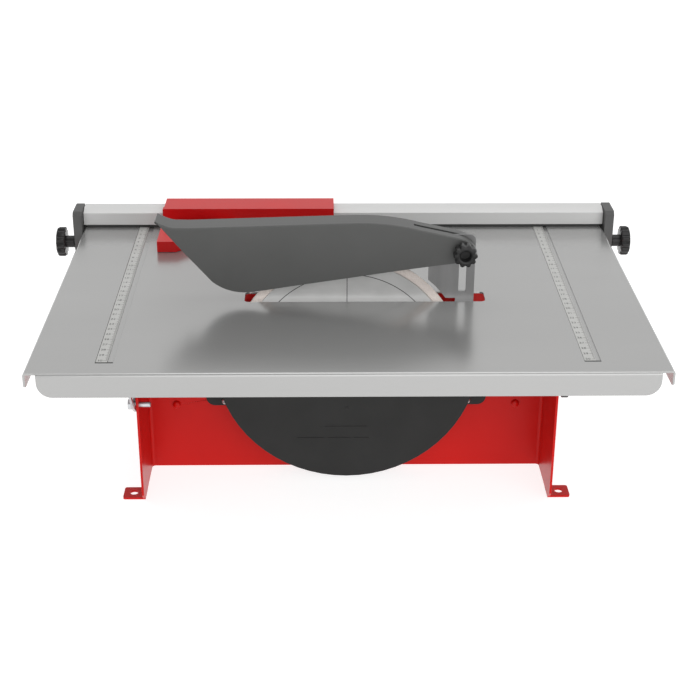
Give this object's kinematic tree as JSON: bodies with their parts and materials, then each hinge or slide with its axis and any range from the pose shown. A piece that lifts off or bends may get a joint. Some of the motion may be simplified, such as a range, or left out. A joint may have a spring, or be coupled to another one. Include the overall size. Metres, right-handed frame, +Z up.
{
  "type": "tile cutter",
  "caption": "Bench wet tile saw: folded red stand with water trough, tilting sheet-steel table, diamond blade under a swinging guard, sliding fence and mitre guide.",
  "frame": {"origin": "on the floor, under the middle of the table", "axes": "+X to the right of a person at the front edge of the table, +Y to the back, where the fence is, +Z up"},
  "size_m": [0.5556, 0.35, 0.248],
  "materials": {
    "red_paint": "gloss powder coat",
    "guide_paint": "gloss powder coat",
    "satin_steel": "satin rolled sheet",
    "zinc": "zinc plated",
    "knife_steel": "satin sheet",
    "bearing_steel": "turned",
    "blade_steel": "ground disc",
    "diamond": "sintered abrasive",
    "aluminium": "satin extrusion",
    "cast_alloy": "as cast",
    "copper": "varnished windings",
    "guard_plastic": "satin moulded",
    "charcoal_plastic": "fine texture moulded",
    "black_plastic": "moulded",
    "black_paint": "satin enamel",
    "green_plastic": "gloss moulded",
    "red_plastic": "gloss moulded",
    "scale_face": "printed strip"
  },
  "bodies": {
    "stand": {"front_stand": "red_paint", "rear_stand": "red_paint", "stand_bolt_left": "red_paint", "stand_bolt_right": "red_paint", "blade_cover": "charcoal_plastic", "cover_screw_1": "zinc", "cover_screw_2": "zinc", "cover_screw_3": "zinc", "cover_screw_4": "zinc", "riving_knife": "knife_steel", "knife_spacer_1": "zinc", "knife_screw_1": "zinc", "knife_spacer_2": "zinc", "knife_screw_2": "zinc", "motor_front_bell": "cast_alloy", "motor_can": "black_paint", "motor_rear_bell": "black_plastic", "motor_bolt_1": "zinc", "motor_bolt_2": "zinc", "motor_bolt_3": "zinc", "motor_bolt_4": "zinc", "bearing_front": "bearing_steel", "bearing_rear": "bearing_steel", "stator": "copper", "switch_box": "black_plastic", "cable_gland": "black_plastic", "pivot_screw_left": "zinc", "pivot_screw_right": "zinc", "clamp_washer_left": "zinc", "clamp_washer_right": "zinc"},
    "rotor": {"shaft": "bearing_steel", "rotor_core": "cast_alloy", "fan": "black_plastic", "inner_flange": "bearing_steel", "blade_core": "blade_steel", "blade_rim": "diamond", "outer_flange": "bearing_steel", "blade_nut": "bearing_steel"},
    "on_button": {"on_button": "green_plastic"},
    "off_button": {"off_button": "red_plastic"},
    "table": {"table": "satin_steel", "scale_left": "scale_face", "scale_right": "scale_face", "tilt_bracket_left": "zinc", "tilt_bracket_right": "zinc"},
    "tilt_bolt_left": {"tilt_bolt_left": "zinc"},
    "tilt_knob_right": {"tilt_knob_right": "black_plastic"},
    "fence": {"fence_bar": "aluminium", "fence_clamp_left": "charcoal_plastic", "fence_clamp_right": "charcoal_plastic"},
    "fence_knob_left": {"fence_knob_left": "charcoal_plastic"},
    "fence_knob_right": {"fence_knob_right": "charcoal_plastic"},
    "guide": {"mitre_guide": "guide_paint"},
    "guide_screw": {"guide_screw": "black_plastic"},
    "guard_bolt": {"guard_bolt": "zinc", "guard_spacer_front": "black_plastic", "guard_spacer_back": "black_plastic"},
    "guard": {"guard": "guard_plastic"},
    "guard_knob": {"guard_knob": "charcoal_plastic"}
  },
  "joints": [
    {"name": "table_tilt", "type": "hinge", "parent": "stand", "child": "table", "pos_m": [0, -0.024, 0.167], "axis": [1, 0, 0], "range_deg": [0, 45]},
    {"name": "fence_slide", "type": "slide", "parent": "table", "child": "fence", "axis": [0, 1, 0], "range_m": [-0.065, 0.004]},
    {"name": "guide_slide", "type": "slide", "parent": "fence", "child": "guide", "axis": [1, 0, 0], "range_m": [-0.07, 0.24]},
    {"name": "fence_knob_left_turn", "type": "hinge", "parent": "fence", "child": "fence_knob_left", "pos_m": [-0.27, 0.1455, 0.162], "axis": [1, 0, 0], "range_deg": [-180, 180]},
    {"name": "fence_knob_right_turn", "type": "hinge", "parent": "fence", "child": "fence_knob_right", "pos_m": [0.27, 0.1455, 0.162], "axis": [1, 0, 0], "range_deg": [-180, 180]},
    {"name": "guide_screw_turn", "type": "hinge", "parent": "guide", "child": "guide_screw", "pos_m": [-0.092, 0.173, 0.1865], "axis": [0, 1, 0], "range_deg": [-180, 180]},
    {"name": "guard_lift", "type": "slide", "parent": "stand", "child": "guard_bolt", "axis": [0, 0, 1], "range_m": [-0.005, 0.003]},
    {"name": "guard_swing", "type": "hinge", "parent": "guard_bolt", "child": "guard", "pos_m": [0.099, -0.024, 0.2202], "axis": [0, 1, 0], "range_deg": [0, 35]},
    {"name": "guard_knob_turn", "type": "hinge", "parent": "guard", "child": "guard_knob", "pos_m": [0.099, -0.04, 0.2202], "axis": [0, 1, 0], "range_deg": [-180, 180]},
    {"name": "blade_spin", "type": "hinge", "parent": "stand", "child": "rotor", "pos_m": [0, -0.024, 0.115], "axis": [0, 1, 0], "continuous": true},
    {"name": "on_press", "type": "slide", "parent": "stand", "child": "on_button", "axis": [0, -1, 0], "range_m": [0, 0.003], "stiffness_N_per_m": 600},
    {"name": "off_press", "type": "slide", "parent": "stand", "child": "off_button", "axis": [0, -1, 0], "range_m": [0, 0.003], "stiffness_N_per_m": 600},
    {"name": "tilt_bolt_left_turn", "type": "hinge", "parent": "stand", "child": "tilt_bolt_left", "pos_m": [-0.182, -0.06898, 0.09453], "axis": [1, 0, 0], "range_deg": [-90, 90]},
    {"name": "tilt_knob_right_turn", "type": "hinge", "parent": "stand", "child": "tilt_knob_right", "pos_m": [0.182, -0.06092, 0.10753], "axis": [1, 0, 0], "range_deg": [-90, 90]}
  ]
}
